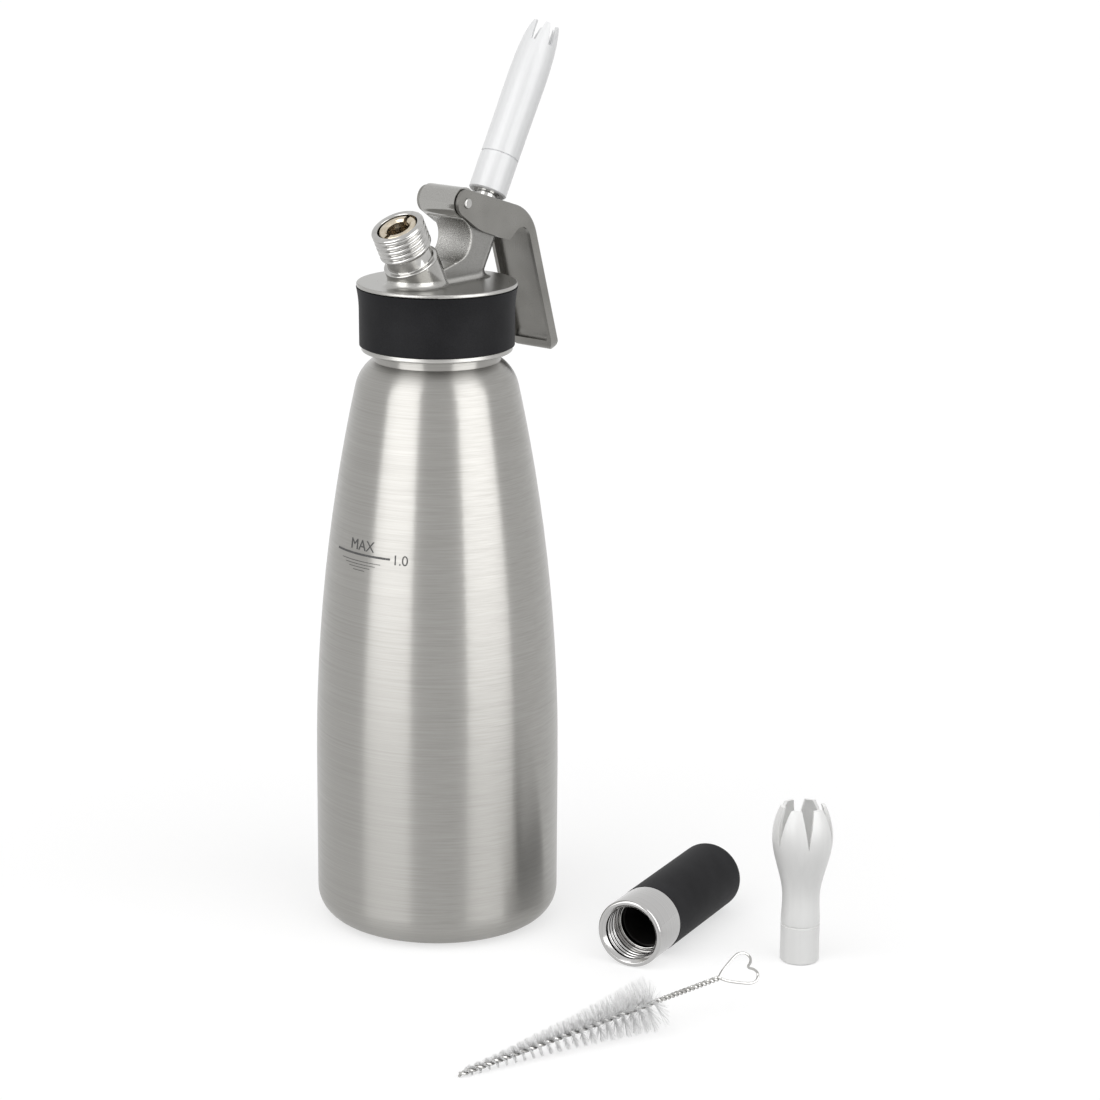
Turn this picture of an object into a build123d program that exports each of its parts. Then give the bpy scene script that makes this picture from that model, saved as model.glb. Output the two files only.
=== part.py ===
from build123d import *
from math import atan2, cos, hypot, radians, sin, sqrt, tan
import os

# Cream dispenser with its tips, charger holder and cleaning brush, in millimetres.
# The origin is the middle of the bottle's resting face, +Z is up, and the squeeze
# lever stands on the +X side. Radii are named _r, and a running fit is radial.

os.makedirs("parts", exist_ok=True)

# --- Clearances ---------------------------------------------------------------------
running_fit = 0.05
seat_gap = 0.1
free_gap = 0.3
nearly = 0.001

# --- Bottle -------------------------------------------------------------------------
bottle_r = 47.5
bottle_wall = 1.2
base_round = 12.0
barrel_top_z = 65.0
shoulder_z = 214.0
shoulder_r = 31.4
shoulder_rise = 10.0
neck_r = 24.6
neck_length = 20.0
base_ring_r = 26.0
base_ring_width = 4.0
base_ring_depth = 0.8
lip_height = 2.0

# --- Head casting -------------------------------------------------------------------
skirt_gap = 3.5
head_height = 26.5
disc_r = 30.8
disc_rim = 1.65
disc_edge_round = 0.65
disc_thickness = 5.0
cup_r = 28.0
skirt_height = 2.2
skirt_r = 29.0
skirt_edge_round = 0.65
cup_clearance = 0.8
band_top_r = 30.9
band_waist_r = 29.9
band_flare_height = 9.0
gasket_round = 0.5

# --- Spout, valve and tower ---------------------------------------------------------
# Heights here and on the lever are above the disc's top.
spout_tilt = 29.0
spout_root_x = 11.84
tower_half = 8.6
tower_height = 20.0
tower_edge_round = 0.8
foot_round = 2.5
scoop_x = 1.7
scoop_height = 16.3
scoop_r = 8.1
scoop_top_angle = 77.0
scoop_foot_angle = -71.0
saddle_height = 5.2
barrel_r = 5.9
barrel_half = 8.8
housing_r = 8.8
housing_depth = 10.0
chamber_r = 6.2
chamber_top = 12.0
chamber_floor = -2.0
stem_r = 3.6
stem_foot_r = 2.6
stem_waist = 4.0
stem_cone = 2.0
stem_thread_r = 4.0
stem_thread_length = 14.0
stem_thread_relief = 0.6
stem_bore_r = 1.8
stem_drill_point = 1.0
port_r = 1.45
port_s = 6.0
collar_r = 5.2
collar_top = 29.5
collar_height = 3.0
stem_flange_s = 9.0
stem_flange_height = 1.5
poppet_r = 5.5
poppet_height = 2.5
poppet_chamfer = 1.0
seal_height = 1.2
bush_way_r = 3.4
bush_chamfer = 0.5
ring_section = 0.6
ring_s = 16.0
spring_wire = 0.8
spring_turns = 5

# --- Lever --------------------------------------------------------------------------
pivot_x = 5.6
pivot_height = 30.2
pin_r = 2.0
pin_proud = 0.7
pin_end_round = 0.6
lever_half = 10.6
cheek_wall = 1.5
web_wall = 2.0
grip_depth = 4.4
web_slope = 17.6
grip_lean = 16.9
corner_x = 43.7
corner_height = 23.6
corner_round = 18.0
grip_length = 60.9
grip_end_rise = 2.8
grip_end_round = 1.8
grip_lip_round = 2.2
grip_plan_round = 7.5
channel_end_round = 3.0
channel_plan_round = 6.0
cheek_corner_x = 30.0
cheek_corner_height = 13.2
cheek_corner_round = 2.5
cheek_mid_x = 12.8
cheek_mid_height = 19.0
cheek_mid_round = 30.0
eye_foot_angle = 230.0
notch_x = 39.8
notch_height = 21.0
notch_round = 5.0
web_start_x = 12.8
lever_edge_round = 1.0
lever_depth = 15.0
slot_shift = 0.8
web_slot_gap = 0.9

# --- Charger inlet ------------------------------------------------------------------
stud_tilt = 28.0
stud_root_x = -9.75
stud_thread_r = 10.3
stud_neck_r = 9.0
stud_tip = 27.0
stud_thread_start = 16.5
stud_chamfer = 0.7
stud_shoulder = 0.8
stud_seat = 2.0
stud_spigot_r = 7.5
boss_r = 10.65
boss_height = 10.3
stud_bore_r = 7.9
check_seal_height = 2.0
insert_r = 7.3
insert_bore_r = 4.5
insert_bore_chamfer = 0.8
insert_floor = 14.0
insert_height = 12.5
insert_foot = 3.0
insert_slot = 1.7
insert_slot_depth = 2.2
gas_hole_r = 0.7
gas_hole_ring_r = 3.1
gas_hole_count = 3
needle_r = 1.25
needle_bore_r = 0.45
needle_height = 8.5
needle_point = 0.7
gas_way_r = 1.5

# --- Decorating tips ----------------------------------------------------------------
tip_base_r = 7.5
tip_groove_height = 15.0
tip_groove_width = 0.9
tip_groove_depth = 0.45
tip_base_chamfer = 0.5
tip_wall = 1.4
tip_throat_r = 3.0
tip_throat_length = 4.0
tip_seal_height = 1.1
tip_seal_bore_r = 2.0
thread_bush_wall = 1.3
nozzle_base_s = 35.0
nozzle_length = 70.4
nozzle_belly_r = 7.6
nozzle_belly_height = 38.0
nozzle_mouth_r = 5.55
nozzle_mouth_lean = 0.25
nozzle_slot_depth = 8.5
nozzle_slot_root = 1.75
nozzle_slot_mouth = 3.9
nozzle_turn = 48.8
tulip_height = 62.1
tulip_waist_r = 7.3
tulip_waist_height = 28.0
tulip_belly_r = 11.5
tulip_belly_height = 47.8
tulip_mouth_r = 8.6
tulip_mouth_lean = 0.45
tulip_slot_height = 47.5
tulip_slot_width = 4.6
tulip_x = 52.6
tulip_y = -139.6
tulip_turn = 18.4
petal_count = 6

# --- Charger holder -----------------------------------------------------------------
holder_r = 13.26
holder_length = 77.4
holder_sleeve_length = 17.8
holder_thread_r = 10.4
holder_thread_length = 8.5
holder_relief_r = 11.2
holder_relief_length = 4.0
holder_bore_r = 9.2
holder_lip = 0.8
holder_thread_chamfer = 1.3
holder_floor = 4.0
liner_floor = 1.5
holder_tube_r = 11.6
holder_end_round = 4.0
holder_ring_r = 10.9
holder_ring_height = 2.4
holder_ring_round = 0.4
holder_turn = 13.3
holder_x = 2.2
holder_y = -96.2

# --- Cleaning brush -----------------------------------------------------------------
brush_wire_r = 1.15
brush_loop_wire_r = 0.5
brush_stem_length = 113.8
bristle_start = 14.0
bristle_end = 84.0
bristle_tip_r = 2.4
bristle_mid_r = 6.0
bristle_mid = 50.0
bristle_r = 10.9
heart_length = 15.6
heart_half = 6.4
heart_notch = 3.0
heart_root = 0.6
heart_root_x = 0.56
heart_flank_x = 4.0
heart_root_lean = 0.5
heart_flank_s = 6.4
heart_shoulder_s = 11.4
heart_lobe_x = 3.5
heart_lobe_drop = 0.4
heart_roll = 50.0
brush_x = -119.7
brush_y = -117.4
brush_turn = -16.9

# --- Derived levels, planes and axes ------------------------------------------------
neck_root_z = shoulder_z + shoulder_rise
neck_top_z = neck_root_z + neck_length
skirt_z = neck_root_z + skirt_gap
disc_top_z = skirt_z + head_height
scoop_z = disc_top_z + scoop_height
pivot_z = disc_top_z + pivot_height


def tilted_plane(root_x, tilt):
    """Plane through the disc top: local x is radial, local y runs up the tilted axis."""
    lean = radians(tilt)
    return Plane(origin=(root_x, 0, disc_top_z), x_dir=(cos(lean), 0, -sin(lean)), z_dir=(0, -1, 0))


def xz(point):
    """A point of the symmetry plane in the local coordinates of Plane.XZ."""
    return (point.X, point.Z)


def across(plane, height):
    """Plane square to a tilted axis, at a height up it, facing outwards."""
    return Plane(origin=plane.from_local_coords((0, height, 0)), x_dir=plane.x_dir, z_dir=plane.y_dir)


spout_plane = tilted_plane(spout_root_x, spout_tilt)
spout_axis = Axis(spout_plane.origin, spout_plane.y_dir)
stud_plane = tilted_plane(stud_root_x, -stud_tilt)
stud_axis = Axis(stud_plane.origin, stud_plane.y_dir)

# --- Bottle -------------------------------------------------------------------------
# One spun shell: rounded base, straight barrel, one long arc up to the shoulder, neck.
taper_rise = shoulder_z - barrel_top_z
taper_fall = bottle_r - shoulder_r
taper_arc_r = (taper_rise**2 + taper_fall**2) / (2 * taper_fall)
foot_r = bottle_r - base_round

with BuildPart() as bottle:
    with BuildSketch(Plane.XZ):
        with BuildLine():
            base_1 = Line((0, 0), (base_ring_r - base_ring_width / 2, 0))
            base_2 = ThreePointArc(
                base_1 @ 1, (base_ring_r, base_ring_depth), (base_ring_r + base_ring_width / 2, 0)
            )
            base_3 = Line(base_2 @ 1, (foot_r, 0))
            heel = RadiusArc(base_3 @ 1, (bottle_r, base_round), -base_round)
            wall = Line(heel @ 1, (bottle_r, barrel_top_z))
            taper = RadiusArc(wall @ 1, (shoulder_r, shoulder_z), -taper_arc_r)
            shoulder = TangentArc(taper @ 1, (neck_r, neck_root_z), tangent=taper % 1)
            neck = Line(shoulder @ 1, (neck_r, neck_top_z))
            Polyline(neck @ 1, (0, neck_top_z), (0, 0))
        make_face()
    revolve(axis=Axis.Z)
    offset(amount=-bottle_wall, openings=bottle.faces().sort_by(Axis.Z)[-1])
    with BuildSketch(Plane.XZ):
        with Locations((neck_r - bottle_wall / 2, neck_top_z)):
            Ellipse(bottle_wall / 2 + free_gap, lip_height / 2)
    revolve(axis=Axis.Z)
bottle.part.label = "bottle"
export_step(bottle.part, "parts/bottle.step")

# --- Head casting -------------------------------------------------------------------
# Disc, threaded cup and skirt turned in one piece with the hinge tower and stud boss.
disc_under_z = disc_top_z - disc_thickness
cup_bore_r = neck_r + cup_clearance
skirt_top_z = skirt_z + skirt_height
rim_under_z = disc_top_z - disc_rim
valve_floor = -housing_depth
stem_guide_r = stem_r + running_fit
ring_groove_r = stem_guide_r + 2 * ring_section
ring_groove_half = ring_section + seat_gap
axis_foot = spout_plane.from_local_coords((0, valve_floor, 0))
axis_top = spout_plane.from_local_coords((0, tower_height, 0))
tower_corner = spout_plane.from_local_coords((-tower_half, tower_height, 0))
scoop_sweep = scoop_foot_angle - scoop_top_angle

# Hinge tower: a scooped plate under the barrel, with the spout boss and the stud boss.
with BuildPart() as hinge_tower:
    with BuildSketch(Plane.XZ):
        with BuildLine():
            scoop = CenterArc((scoop_x, scoop_z), scoop_r, scoop_top_angle, scoop_sweep)
            saddle = Line(scoop @ 1, (stud_root_x, disc_top_z + saddle_height))
            Polyline(
                saddle @ 1,
                (stud_root_x, axis_foot.Z),
                xz(axis_foot),
                xz(axis_top),
                xz(tower_corner),
                (pivot_x + barrel_r, pivot_z),
                (pivot_x, pivot_z),
                scoop @ 0,
            )
        make_face()
    extrude(amount=tower_half, both=True)
    scoop_faces = hinge_tower.faces().filter_by(GeomType.CYLINDER)
    saddle_faces = hinge_tower.faces().filter_by(
        lambda f: (f.center() - Vector((saddle @ 0.5).X, 0, (saddle @ 0.5).Y)).length < tower_half / 2
    )
    rim_edges = (scoop_faces + saddle_faces).edges().filter_by(Axis.Y, reverse=True)
    fillet(rim_edges, tower_edge_round)
    with BuildSketch(across(spout_plane, valve_floor)):
        Circle(tower_half)
    extrude(amount=tower_height - valve_floor)
    with BuildSketch(across(stud_plane, valve_floor)):
        Circle(boss_r)
    extrude(amount=boss_height - valve_floor)
    with BuildSketch(Plane.XZ):
        with Locations((pivot_x, pivot_z)):
            Circle(barrel_r)
    extrude(amount=barrel_half, both=True)
    split(bisect_by=Plane.XY.offset(rim_under_z), keep=Keep.TOP)

with BuildPart() as head_casting:
    with BuildSketch(Plane.XZ):
        with BuildLine():
            Polyline(
                (0, disc_top_z),
                (disc_r, disc_top_z),
                (disc_r, rim_under_z),
                (cup_r, rim_under_z),
                (cup_r, skirt_top_z),
                (skirt_r, skirt_top_z),
                (skirt_r, skirt_z),
                (cup_bore_r, skirt_z),
                (cup_bore_r, disc_under_z),
                (0, disc_under_z),
                close=True,
            )
        make_face()
    revolve(axis=Axis.Z)
    rims = head_casting.edges().filter_by(GeomType.CIRCLE)
    fillet(rims.filter_by(lambda e: abs(e.radius - disc_r) < nearly), disc_edge_round)
    skirt_rims = head_casting.edges().filter_by(GeomType.CIRCLE)
    fillet(skirt_rims.filter_by(lambda e: abs(e.radius - skirt_r) < nearly), skirt_edge_round)
    add(hinge_tower.part)
    # Soft fillet where tower and bosses rise from the disc.
    top_edges = head_casting.edges().filter_by(
        lambda e: abs((e @ 0).Z - disc_top_z) < nearly and abs((e @ 0.3).Z - disc_top_z) < nearly
    )
    fillet(top_edges.filter_by(lambda e: hypot((e @ 0.3).X, (e @ 0.3).Y) < cup_r), foot_round)
    # Valve housing under the disc, and the valve's bores.
    with BuildSketch(across(spout_plane, valve_floor)):
        Circle(housing_r)
    extrude(until=Until.NEXT)
    with BuildSketch(spout_plane):
        with BuildLine():
            Polyline(
                (0, valve_floor - free_gap),
                (chamber_r, valve_floor - free_gap),
                (chamber_r, chamber_top),
                (stem_guide_r, chamber_top),
                (stem_guide_r, ring_s - ring_groove_half),
                (ring_groove_r, ring_s - ring_groove_half),
                (ring_groove_r, ring_s + ring_groove_half),
                (stem_guide_r, ring_s + ring_groove_half),
                (stem_guide_r, tower_height + free_gap),
                (0, tower_height + free_gap),
                close=True,
            )
        make_face()
    revolve(axis=spout_axis, mode=Mode.SUBTRACT)
    # Charger inlet seat, gas way and hinge bore.
    with BuildSketch(across(stud_plane, stud_seat)):
        Circle(stud_spigot_r + running_fit)
    extrude(amount=boss_height, mode=Mode.SUBTRACT)
    with BuildSketch(across(stud_plane, valve_floor)):
        Circle(gas_way_r)
    extrude(amount=boss_height - valve_floor, mode=Mode.SUBTRACT)
    with BuildSketch(Plane.XZ):
        with Locations((pivot_x, pivot_z)):
            Circle(pin_r + running_fit)
    extrude(amount=barrel_half, both=True, mode=Mode.SUBTRACT)
head_casting.part.label = "head_casting"
export_step(head_casting.part, "parts/head_casting.step")

# Silicone grip sleeve round the cup, flared to the disc's rim.
with BuildPart() as grip_band:
    with BuildSketch(Plane.XZ):
        with BuildLine():
            waist = Line(
                (band_waist_r - seat_gap, skirt_top_z + seat_gap),
                (band_waist_r, rim_under_z - band_flare_height),
            )
            flare = TangentArc(
                waist @ 1, (band_top_r, rim_under_z - seat_gap), tangent=waist % 1
            )
            Polyline(
                flare @ 1,
                (cup_r + running_fit, rim_under_z - seat_gap),
                (cup_r + running_fit, skirt_top_z + seat_gap),
                waist @ 0,
            )
        make_face()
    revolve(axis=Axis.Z)
grip_band.part.label = "grip_band"
export_step(grip_band.part, "parts/grip_band.step")

# Flat seal between the bottle's lip and the head, in the roof of the cup.
lip_top_z = neck_top_z + lip_height / 2
gasket_r = neck_r - bottle_wall / 2
gasket_half = cup_bore_r - free_gap - gasket_r

with BuildPart() as head_gasket:
    with BuildSketch(Plane.XZ):
        with Locations((gasket_r, (lip_top_z + disc_under_z) / 2)):
            RectangleRounded(2 * gasket_half, disc_under_z - lip_top_z - 2 * seat_gap, gasket_round)
    revolve(axis=Axis.Z)
head_gasket.part.label = "head_gasket"
export_step(head_gasket.part, "parts/head_gasket.step")

# --- Charger inlet ------------------------------------------------------------------
stud_bore_floor = insert_floor - check_seal_height

with BuildPart() as charger_stud:
    with BuildSketch(stud_plane):
        with BuildLine():
            Polyline(
                (gas_way_r, stud_seat + seat_gap),
                (stud_spigot_r, stud_seat + seat_gap),
                (stud_spigot_r, boss_height),
                (boss_r, boss_height),
                (boss_r, boss_height + stud_shoulder),
                (stud_neck_r, boss_height + stud_shoulder),
                (stud_neck_r, stud_thread_start - stud_chamfer),
                (stud_thread_r, stud_thread_start),
                (stud_thread_r, stud_tip - stud_chamfer),
                (stud_thread_r - stud_chamfer, stud_tip),
                (stud_bore_r, stud_tip),
                (stud_bore_r, stud_bore_floor),
                (gas_way_r, stud_bore_floor),
                close=True,
            )
        make_face()
    revolve(axis=stud_axis)
charger_stud.part.label = "charger_stud"
export_step(charger_stud.part, "parts/charger_stud.step")

# Check valve washer under the insert.
with BuildPart() as check_seal:
    with BuildSketch(across(stud_plane, stud_bore_floor)):
        Circle(stud_bore_r - seat_gap)
        Circle(gas_way_r, mode=Mode.SUBTRACT)
    extrude(amount=insert_floor - stud_bore_floor)
check_seal.part.label = "check_seal"
export_step(check_seal.part, "parts/check_seal.step")

# Brass insert: screwed foot, plain collar with a tool slot across its face.
insert_top = insert_floor + insert_height
insert_slot_floor = insert_top - insert_slot_depth

with BuildPart() as piercing_insert:
    with BuildSketch(stud_plane):
        with BuildLine():
            Polyline(
                (needle_r, insert_floor),
                (stud_bore_r - running_fit, insert_floor),
                (stud_bore_r - running_fit, insert_floor + insert_foot),
                (insert_r, insert_floor + insert_foot),
                (insert_r, insert_top - free_gap),
                (insert_r - free_gap, insert_top),
                (insert_bore_r + insert_bore_chamfer, insert_top),
                (insert_bore_r, insert_top - insert_bore_chamfer),
                (insert_bore_r, insert_floor + insert_foot),
                (needle_r, insert_floor + insert_foot),
                close=True,
            )
        make_face()
    revolve(axis=stud_axis)
    with BuildSketch(across(stud_plane, insert_slot_floor)):
        Rectangle(3 * insert_r, insert_slot)
    extrude(amount=2 * insert_slot_depth, mode=Mode.SUBTRACT)
    with BuildSketch(across(stud_plane, insert_floor)):
        with PolarLocations(gas_hole_ring_r, gas_hole_count):
            Circle(gas_hole_r)
    extrude(amount=insert_foot, mode=Mode.SUBTRACT)
piercing_insert.part.label = "piercing_insert"
export_step(piercing_insert.part, "parts/piercing_insert.step")

# Hollow needle with a pointed tip.
with BuildPart() as piercing_needle:
    with BuildSketch(across(stud_plane, insert_floor)):
        Circle(needle_r - running_fit)
    extrude(amount=needle_height)
    chamfer(piercing_needle.faces().sort_by(stud_axis)[-1].edges(), needle_point)
    with BuildSketch(across(stud_plane, insert_floor)):
        Circle(needle_bore_r)
    extrude(amount=needle_height, mode=Mode.SUBTRACT)
piercing_needle.part.label = "piercing_needle"
export_step(piercing_needle.part, "parts/piercing_needle.step")

# --- Dispensing valve ---------------------------------------------------------------
collar_bottom = collar_top - collar_height
stem_top = collar_top + stem_thread_length
seal_top = valve_floor - seat_gap
poppet_top = seal_top - seal_height
stem_flange_r = chamber_r - free_gap
flange_top = stem_flange_s + stem_flange_height
stem_waist_top = chamber_floor + stem_waist

with BuildPart() as valve_stem:
    with BuildSketch(spout_plane):
        with BuildLine():
            Polyline(
                (0, poppet_top - poppet_height),
                (poppet_r - poppet_chamfer, poppet_top - poppet_height),
                (poppet_r, poppet_top - poppet_height + poppet_chamfer),
                (poppet_r, poppet_top),
                (stem_foot_r, poppet_top),
                (stem_foot_r, stem_waist_top),
                (stem_r, stem_waist_top + stem_cone),
                (stem_r, stem_flange_s),
                (stem_flange_r, stem_flange_s),
                (stem_flange_r, flange_top),
                (stem_r, flange_top),
                (stem_r, collar_bottom),
                (collar_r, collar_bottom),
                (collar_r, collar_top),
                (stem_thread_r - stem_thread_relief, collar_top),
                (stem_thread_r - stem_thread_relief, collar_top + stem_thread_relief),
                (stem_thread_r, collar_top + 2 * stem_thread_relief),
                (stem_thread_r, stem_top - stem_thread_relief),
                (stem_thread_r - stem_thread_relief, stem_top),
                (stem_bore_r, stem_top),
                (stem_bore_r, stem_waist_top),
                (0, stem_waist_top - stem_drill_point),
                close=True,
            )
        make_face()
    revolve(axis=spout_axis)
    # A cross bore lets cream into the hollow stem.
    with BuildSketch(Plane.XZ):
        with Locations(xz(spout_plane.from_local_coords((0, port_s, 0)))):
            Circle(port_r)
    extrude(amount=2 * stem_r, both=True, mode=Mode.SUBTRACT)
valve_stem.part.label = "valve_stem"
export_step(valve_stem.part, "parts/valve_stem.step")

with BuildPart() as poppet_seal:
    with BuildSketch(across(spout_plane, poppet_top)):
        Circle(poppet_r - seat_gap)
        Circle(stem_foot_r + running_fit, mode=Mode.SUBTRACT)
    extrude(amount=seal_height)
poppet_seal.part.label = "poppet_seal"
export_step(poppet_seal.part, "parts/poppet_seal.step")

with BuildPart() as valve_bush:
    with BuildSketch(across(spout_plane, valve_floor)):
        Circle(chamber_r - running_fit)
        Circle(bush_way_r, mode=Mode.SUBTRACT)
    extrude(amount=chamber_floor - valve_floor)
    bush_rims = valve_bush.edges().filter_by(GeomType.CIRCLE)
    chamfer(bush_rims.filter_by(lambda e: abs(e.radius - bush_way_r) < nearly), bush_chamfer)
valve_bush.part.label = "valve_bush"
export_step(valve_bush.part, "parts/valve_bush.step")

with BuildPart() as stem_o_ring:
    with BuildSketch(spout_plane):
        with Locations((stem_guide_r + ring_section, ring_s)):
            Circle(ring_section)
    revolve(axis=spout_axis)
stem_o_ring.part.label = "stem_o_ring"
export_step(stem_o_ring.part, "parts/stem_o_ring.step")

# Return spring between the bush and the stem's flange.
spring_r = (stem_r + chamber_r) / 2
spring_foot = chamber_floor + spring_wire / 2 + seat_gap
spring_head = stem_flange_s - spring_wire / 2 - seat_gap
spring_rise = spring_head - spring_foot
spring_root = spout_plane.from_local_coords((0, spring_foot, 0))

with BuildPart() as valve_spring:
    with BuildLine():
        coil = Helix(
            spring_rise / spring_turns,
            spring_rise,
            spring_r,
            center=spring_root,
            direction=spout_plane.y_dir,
        )
    with BuildSketch(Plane(origin=coil @ 0, z_dir=coil % 0)):
        Circle(spring_wire / 2)
    sweep(path=coil, is_frenet=True)
valve_spring.part.label = "valve_spring"
export_step(valve_spring.part, "parts/valve_spring.step")

# --- Hinge pin and lever ------------------------------------------------------------
# The pin is held in the barrel and turns in the lever's two cheeks.
with BuildPart() as hinge_pin:
    with BuildSketch(Plane.XZ):
        with Locations((pivot_x, pivot_z)):
            Circle(pin_r)
    extrude(amount=lever_half + pin_proud, both=True)
    fillet(hinge_pin.edges().filter_by(GeomType.CIRCLE), pin_end_round)
hinge_pin.part.label = "hinge_pin"
export_step(hinge_pin.part, "parts/hinge_pin.step")

grip_dir = Vector(sin(radians(grip_lean)), 0, -cos(radians(grip_lean)))
grip_in = Vector(grip_dir.Z, 0, -grip_dir.X)
web_dir = Vector(cos(radians(web_slope)), 0, -sin(radians(web_slope)))
web_up = Vector(-web_dir.Z, 0, web_dir.X)
pivot = Vector(pivot_x, 0, pivot_z)
corner = Vector(corner_x, 0, disc_top_z + corner_height)
grip_end = corner + grip_dir * grip_length
grip_lip = grip_end + grip_in * grip_depth - grip_dir * grip_end_rise
eye_r = (corner - pivot).dot(web_up)
eye_top = pivot + web_up * eye_r


def eye_point(angle):
    """A point of the lever's round eye, at an angle from +X towards +Z."""
    return pivot + Vector(cos(radians(angle)), 0, sin(radians(angle))) * eye_r


# Inner corners: every wall moves in by the web's thickness, the leaning end wall too.
half_turn = radians(90 - web_slope - grip_lean) / 2
bisector = (grip_dir - web_dir).normalized()
corner_in = corner + bisector * (web_wall / cos(half_turn))
end_lean = atan2(grip_end_rise, grip_depth)
end_wall = web_wall * (1 + sin(end_lean)) / cos(end_lean)
end_in = corner_in + grip_dir * (grip_length - end_wall - web_wall * tan(half_turn))
end_dir = (grip_lip - grip_end).normalized()
web_start_in = corner_in - web_dir * ((corner_in.X - web_start_x) / web_dir.X)
channel_half = lever_half - cheek_wall
channel_out = 30.0
lever_reach = 2 * grip_length

# The space between the cheeks, closed by the web above and by the grip's end wall.
with BuildPart() as lever_channel:
    with BuildSketch(Plane.XZ):
        with BuildLine():
            floor = FilletPolyline(
                xz(web_start_in),
                xz(corner_in),
                xz(end_in),
                xz(end_in + end_dir * channel_out),
                radius=[corner_round - web_wall, channel_end_round],
            )
            Polyline(
                floor @ 1,
                xz(end_in + (end_dir - grip_dir) * channel_out),
                (pivot_x - channel_out, pivot_z - channel_out),
                (pivot_x - channel_out, pivot_z + channel_out),
                xz(web_start_in + web_up * channel_out),
                floor @ 0,
            )
        make_face()
    extrude(amount=channel_half, both=True)
    with BuildSketch(Plane(origin=end_in, x_dir=(0, 1, 0), z_dir=grip_in)):
        with Locations((0, -lever_reach)):
            RectangleRounded(2 * channel_half, 2 * lever_reach, channel_plan_round)
    extrude(amount=lever_reach, both=True, mode=Mode.INTERSECT)

# The back's two long edges are rounded: a rounded section swept along the back.
with BuildPart() as lever_back:
    with BuildLine():
        route = FilletPolyline(
            eye_top - web_dir * 2 * eye_r, corner, grip_end + grip_dir, radius=corner_round
        )
    with BuildSketch(Plane(origin=route @ 0, x_dir=(0, 1, 0), z_dir=route % 0)):
        with BuildLine():
            right_side = Line((lever_half, -lever_depth), (lever_half, -lever_edge_round))
            right_round = RadiusArc(right_side @ 1, (lever_half - lever_edge_round, 0), -lever_edge_round)
            crown = Line(right_round @ 1, (lever_edge_round - lever_half, 0))
            left_round = RadiusArc(crown @ 1, (-lever_half, -lever_edge_round), -lever_edge_round)
            Polyline(left_round @ 1, (-lever_half, -lever_depth), right_side @ 0)
        make_face()
    sweep(path=route)

with BuildPart() as lever:
    with BuildSketch(Plane.XZ):
        with BuildLine():
            back = FilletPolyline(
                xz(eye_top),
                xz(corner),
                xz(grip_end),
                xz(grip_lip),
                (notch_x, disc_top_z + notch_height),
                (cheek_corner_x, disc_top_z + cheek_corner_height),
                (cheek_mid_x, disc_top_z + cheek_mid_height),
                xz(eye_point(eye_foot_angle)),
                radius=[
                    corner_round,
                    grip_end_round,
                    grip_lip_round,
                    notch_round,
                    cheek_corner_round,
                    cheek_mid_round,
                ],
            )
            ThreePointArc(back @ 1, xz(eye_point(180)), back @ 0)
        make_face()
    extrude(amount=lever_half, both=True)
    # The grip's end is rounded in plan.
    with BuildSketch(Plane(origin=grip_end, x_dir=(0, 1, 0), z_dir=grip_in)):
        with Locations((0, -lever_reach)):
            RectangleRounded(2 * lever_half, 2 * lever_reach, grip_plan_round)
    extrude(amount=lever_reach, both=True, mode=Mode.INTERSECT)
    add(lever_back.part, mode=Mode.INTERSECT)
    add(lever_channel.part, mode=Mode.SUBTRACT)
    # Web opening for the stem, longer towards the barrel, and the bores for the pin.
    with BuildSketch(across(spout_plane, collar_top)):
        with Locations((-slot_shift, 0)):
            SlotCenterToCenter(2 * slot_shift, 2 * (stem_thread_r + web_slot_gap))
    extrude(amount=stem_thread_length, mode=Mode.SUBTRACT)
    with BuildSketch(Plane.XZ):
        with Locations((pivot_x, pivot_z)):
            Circle(pin_r + running_fit)
    extrude(amount=lever_half, both=True, mode=Mode.SUBTRACT)
lever.part.label = "lever"
export_step(lever.part, "parts/lever.step")

# --- Decorating tips ----------------------------------------------------------------
# Each tip screws onto the stem until its seal meets the stem's end.
bush_bore_r = stem_thread_r + running_fit
bush_outer_r = bush_bore_r + thread_bush_wall
tip_reach = stem_top - nozzle_base_s
tip_shoulder = tip_reach + tip_seal_height + 2 * seat_gap
tip_throat_top = tip_shoulder + tip_throat_length


def thread_bush(plane, axis, foot):
    """A tip's metal thread bush, with its foot just above the tip's base."""
    with BuildPart() as bush:
        with BuildSketch(plane):
            with Locations(((bush_bore_r + bush_outer_r) / 2, foot + tip_reach / 2)):
                Rectangle(thread_bush_wall, tip_reach - 2 * seat_gap)
        revolve(axis=axis)
    return bush.part


def tip_seal(plane, axis, foot):
    """Flat washer between the tip's inner shoulder and the ends of stem and bush."""
    with BuildPart() as washer:
        with BuildSketch(plane):
            with BuildLine():
                Polyline(
                    (tip_seal_bore_r, foot + tip_reach + seat_gap),
                    (bush_outer_r, foot + tip_reach + seat_gap),
                    (bush_outer_r, foot + tip_reach + seat_gap + tip_seal_height),
                    (tip_seal_bore_r, foot + tip_reach + seat_gap + tip_seal_height),
                    close=True,
                )
            make_face()
        revolve(axis=axis)
    return washer.part


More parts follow.
